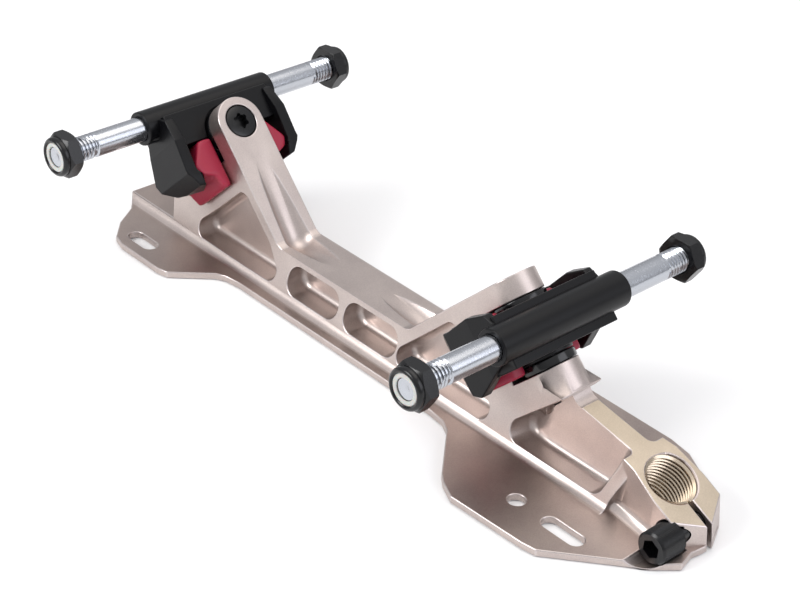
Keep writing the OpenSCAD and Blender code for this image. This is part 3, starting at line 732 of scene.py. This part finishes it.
for end in ENDS:
    place = truck_place(end)
    lobes = add_bar(bmesh.new(), SOCKET_R, 5, 36)
    for lobe in range(6):
        angle = math.radians(60 * lobe)
        spot = shift(LOBE_AT * math.cos(angle), LOBE_AT * math.sin(angle), 0)
        add_bar(lobes, LOBE_R, 5.2, 20, spot)
    head = carved(turned(BOLT_HEAD), placed(lobes, shift(0, 0, HEAD_TOP)))
    bolt = placed(joined(head, turned(BOLT_SHANK)), place @ shift(0, 0, PIN_BELOW_AXLE) @ lie)
    piece(end + "_pivot_bolt_head", bolt, "plate", "black_bolt", steel_black, nodes=(end + "_pivot_bolt",))
    for which in ("upper", "lower"):
        node = f"{end}_{which}_washer"
        low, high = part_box(node)
        centre = place.inverted() @ ((low + high) / 2)
        ring = placed(turned(WASHER, 96), place @ Matrix.Translation(centre) @ lie)
        piece(node + "_polished", ring, end + "_truck", "black_washer", washer_black, nodes=(node,))
    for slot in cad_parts[end + "_pivot_sleeve"].material_slots:
        slot.material = bronze_plain
print("a six-lobe socket is", round(2 * (LOBE_AT + LOBE_R), 2), "mm across")

# %% [markdown]
# ## The toe stop's thread
# The nose is tapped 5/8 inch with 18 turns to the inch, a 1.41 mm pitch. The
# clamp slit crosses every turn, so each turn is a ridge of its own that
# starts behind the slit and stops before it. The turns that would run out
# through the sole are trimmed flush by a plane, and their ends filled.
# %% Toe stop thread piece
STOP_PITCH = 25.4 / 18
STOP_ROOT = 7.99
STOP_CREST = 7.15
SLIT_HALF_TURN = 8.5 / 360
STOP_TURNS = 15
FIRST_TURN_DEPTH = 0.6
ABOVE_SOLE = 0.2
down_bore = Matrix.Translation(STOP_MOUTH) @ Matrix.Rotation(TOE_STOP_LEAN, 4, "Y")
ridge = joined(*(
    thread(STOP_ROOT, STOP_CREST, STOP_PITCH, 1 - 2 * SLIT_HALF_TURN, first + SLIT_HALF_TURN, 72)
    for first in range(-STOP_TURNS, 0)
))
placed(ridge, down_bore @ shift(0, 0, -FIRST_TURN_DEPTH))
bmesh.ops.bisect_plane(
    ridge, geom=ridge.verts[:] + ridge.edges[:] + ridge.faces[:], plane_co=(0, 0, ABOVE_SOLE * MM),
    plane_no=(0, 0, 1), clear_inner=True,
)
bmesh.ops.holes_fill(ridge, edges=[e for e in ridge.edges if e.is_boundary], sides=0)
bmesh.ops.recalc_face_normals(ridge, faces=ridge.faces)
print("open edges of the trimmed thread:", sum(not e.is_manifold for e in ridge.edges))
piece("toe_stop_thread", ridge, "plate", "anodised_chassis", thread_bare, sharp=25)

# %% [markdown]
# ## The pinch screw
# It closes the slit round the toe stop. Its tall round head is knurled for
# grip: each strip of its side is inset and pushed in, which leaves a fine
# straight knurl. The socket is a hexagon. The head reaches on into its
# pocket, where the photograph shows it through the opening.
# %% Pinch screw piece
HEAD_HEIGHT = 7.4
HEAD_FOOT = -1.4
HEX_SOCKET_R = 2.89
SHANK_R = 3
CHAMFER = 0.6
KNURL_GAP = 0.09
KNURL_DEPTH = 0.1
low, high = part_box("toe_stop_pinch_screw")
middle = (low + high) / 2
head_r = (high.z - low.z) / 2 / MM
head = turned([
    (0, HEAD_FOOT), (head_r, HEAD_FOOT), (head_r, HEAD_HEIGHT - CHAMFER),
    (head_r - CHAMFER, HEAD_HEIGHT), (0, HEAD_HEIGHT),
])
strips = [f for f in head.faces if abs(f.normal.z) < 0.1 and f.calc_area() > 1 * MM * MM]
bmesh.ops.inset_individual(
    head, faces=strips, thickness=KNURL_GAP * MM, depth=-KNURL_DEPTH * MM, use_even_offset=True
)
head = carved(head, add_bar(bmesh.new(), HEX_SOCKET_R, 8, 6, shift(0, 0, HEAD_HEIGHT)))
tip = HEAD_HEIGHT - (high.y - low.y) / MM
shank = turned([(0, tip), (SHANK_R - CHAMFER, tip), (SHANK_R, tip + CHAMFER), (SHANK_R, 0.3), (0, 0.3)])
stand = Matrix.Translation((middle.x, low.y + HEAD_HEIGHT * MM, middle.z)) @ turn(90, "X")
screw = placed(joined(head, shank), stand)
piece("pinch_screw_knurled", screw, "plate", "black_screw", steel_black, nodes=("toe_stop_pinch_screw",))
print("knurl strips:", len(strips))

# %% [markdown]
# ## Floor and lamps
# A pale floor lies just under the sole. Three large area lamps shape the
# form: a key from the left, a fill from the right and a soft top light.
# %% Floor and lamps
sheet = bmesh.new()
bmesh.ops.create_grid(sheet, x_segments=1, y_segments=1, size=3.0)
bmesh.ops.translate(sheet, verts=sheet.verts, vec=(0, 0, -0.2 * MM))
floor = shown("floor", sheet)
# Matt paper, nearly white: it takes a soft shadow and throws light back up.
floor.data.materials.append(finish("pale_floor_paper", "#F7F7F7", Roughness=0.9))


def lamp(name, place, size, power, colour):
    """A square area lamp that looks at the plate's middle."""
    data = bpy.data.lights.new(name, "AREA")
    data.size, data.energy, data.color = size, power, linear(colour)[:3]
    made = bpy.data.objects.new(name, data)
    bpy.context.scene.collection.objects.link(made)
    spot = Vector(place)
    aim = (spot - Vector((0, 0, 0.02))).to_track_quat("Z", "Y")
    made.matrix_world = Matrix.Translation(spot) @ aim.to_matrix().to_4x4()
    return made


lamp("key", (-0.3, -0.85, 0.6), 0.5, 6.5, "#FFFFFF")
lamp("fill", (0.8, 0.3, 0.5), 0.6, 2.2, "#F4F6FF")
lamp("top", (0.0, 0.25, 1.0), 0.8, 3.0, "#FFF8F0")

# %% [markdown]
# ## The room
# Metal mirrors what is round it, so an even white room would flatten it. The
# world is dim at the horizon and brighter above, which gives each face its
# own tone. Rays that come straight from the camera see a plain backdrop.
# %% World
world = bpy.data.worlds.new("studio")
bpy.context.scene.world = world
world.use_nodes = True
world.node_tree.nodes.clear()
rays = add(world, "ShaderNodeLightPath").outputs
direct = [(0, rays["Is Camera Ray"]), (1, rays["Is Transmission Ray"])]
seen = add(world, "ShaderNodeMath", direct, operation="MAXIMUM")
toward = add(world, "ShaderNodeTexCoord").outputs["Generated"]
height = add(world, "ShaderNodeSeparateXYZ", [(0, toward)]).outputs["Z"]
climb = [("Value", height), ("From Min", -0.1), ("From Max", 0.85), ("To Min", 0.42), ("To Max", 0.88)]
strength = add(world, "ShaderNodeMapRange", climb).outputs[0]
room = add(world, "ShaderNodeBackground", [("Color", linear("#F6F7FA")), ("Strength", strength)])
backdrop = add(world, "ShaderNodeBackground", [("Strength", 1.0)])
choice = [(0, seen.outputs[0]), (1, room.outputs[0]), (2, backdrop.outputs[0])]
light = add(world, "ShaderNodeMixShader", choice)
add(world, "ShaderNodeOutputWorld", [("Surface", light.outputs[0])])
bpy.context.scene.view_settings.view_transform = "Standard"
print("world nodes:", len(world.node_tree.nodes))
